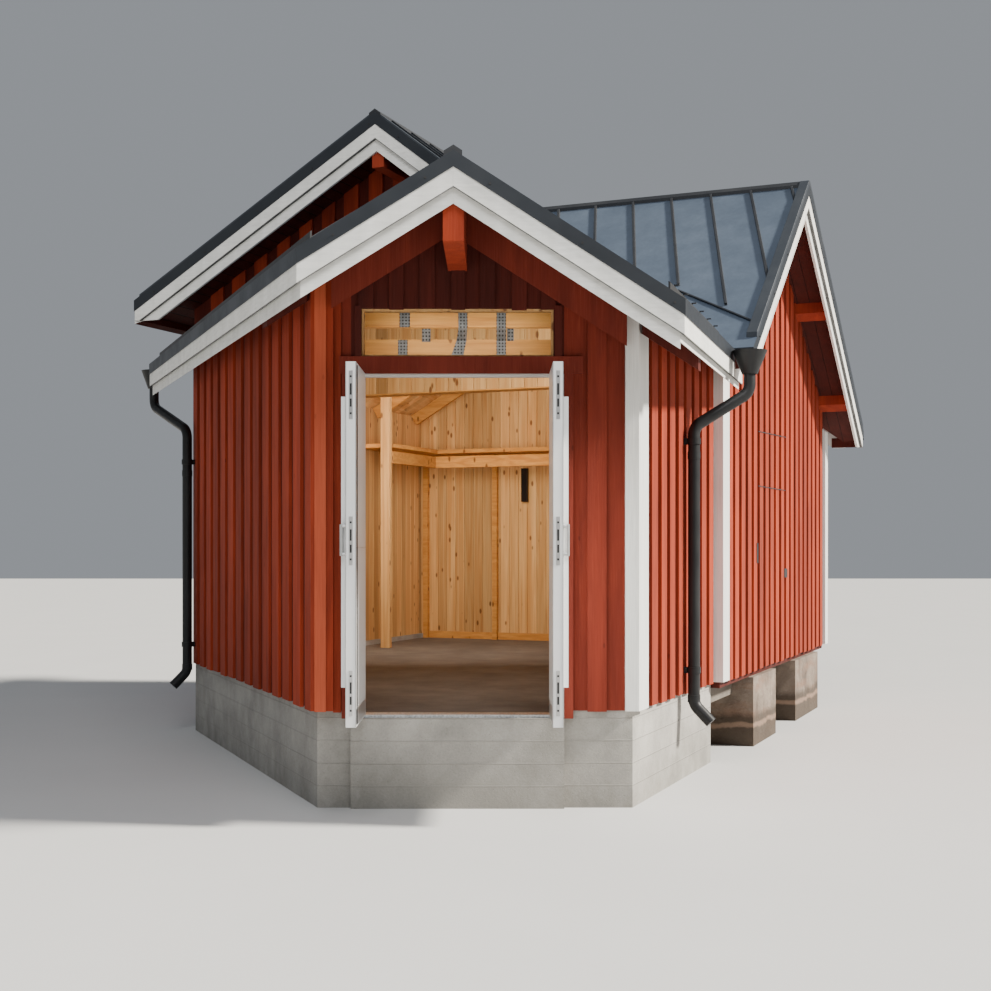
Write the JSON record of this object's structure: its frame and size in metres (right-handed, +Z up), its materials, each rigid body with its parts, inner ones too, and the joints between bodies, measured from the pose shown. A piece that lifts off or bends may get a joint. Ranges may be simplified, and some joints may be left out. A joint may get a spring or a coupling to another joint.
{
  "type": "boathouse",
  "caption": "Timber boathouse with a flared entrance bay, crossed gable roofs of seamed metal, a double door that stands open, and stone piers on its water side.",
  "frame": {"origin": "under the middle of the door, in the plane of the door wall's face, at the level that the plinth and the piers stand on", "axes": "+X to the right along the door wall seen from outside, +Y into the house, +Z up"},
  "size_m": [7.6034, 9.757, 5.4353],
  "materials": {
    "red_cladding": "matte iron-oxide paint on sawn boards",
    "red_timber": "matte iron-oxide paint on planed timber",
    "white_timber": "satin white paint on planed boards",
    "red_deck": "matte iron-oxide paint on soffit boards",
    "roof_metal": "satin graphite coated sheet",
    "pipe_metal": "satin black coated sheet",
    "pine": "bare planed knotty pine",
    "concrete": "rough board-marked cast concrete",
    "floor_concrete": "troweled cast concrete",
    "granite": "split weathered granite",
    "door_paint": "satin pale grey paint",
    "frame_paint": "satin pale grey paint",
    "sill_metal": "worn plain aluminium",
    "hinge_steel": "zinc plated",
    "window_glass": "clear"
  },
  "bodies": {
    "house": {"back_shelf": "pine", "back_wall": "red_cladding", "bargeboards_back": "white_timber", "bargeboards_front": "white_timber", "bargeboards_lake_gable": "white_timber", "bargeboards_upper_gable": "white_timber", "block_left_wall": "red_cladding", "corner_boards_red": "red_timber", "corner_boards_white": "white_timber", "door_frame": "frame_paint", "door_sill_wall": "concrete", "door_threshold": "sill_metal", "door_trim_boards": "red_timber", "eave_fascias": "white_timber", "eave_gutters": "roof_metal", "floor_slab": "floor_concrete", "frame_hinges": "hinge_steel", "front_wall_left": "red_cladding", "front_wall_over_door": "red_cladding", "front_wall_right": "red_cladding", "granite_piers": "granite", "inner_frame": "pine", "lake_wall": "red_cladding", "left_downpipe": "pipe_metal", "left_wall": "red_cladding", "plinth_block_left": "concrete", "plinth_front": "concrete", "plinth_sides": "concrete", "rafter_tails": "red_timber", "ridge_beams": "red_timber", "ridge_caps": "roof_metal", "right_downpipe": "pipe_metal", "right_wall": "red_cladding", "roof_deck_bay_left": "red_deck", "roof_deck_bay_right": "red_deck", "roof_deck_cross_left": "red_deck", "roof_deck_cross_right": "red_deck", "roof_deck_lake_far": "red_deck", "roof_deck_lake_near": "red_deck", "roof_sheet_bay_left": "roof_metal", "roof_sheet_bay_right": "roof_metal", "roof_sheet_cross_left": "roof_metal", "roof_sheet_cross_right": "roof_metal", "roof_sheet_lake_far": "roof_metal", "roof_sheet_lake_near": "roof_metal", "sill_plates": "red_timber", "transom_frame": "frame_paint", "transom_glass": "window_glass", "upper_gable_wall": "red_cladding", "verge_rafters": "red_timber"},
    "left_leaf": {"left_door": "door_paint"},
    "right_leaf": {"right_door": "door_paint"}
  },
  "joints": [
    {"name": "left_door_hinge", "type": "hinge", "parent": "house", "child": "left_leaf", "pos_m": [-0.67, -0.042, 1.7], "axis": [0, 0, 1], "range_deg": [-20, 90]},
    {"name": "right_door_hinge", "type": "hinge", "parent": "house", "child": "right_leaf", "pos_m": [0.67, -0.042, 1.7], "axis": [0, 0, -1], "range_deg": [-20, 90]}
  ]
}
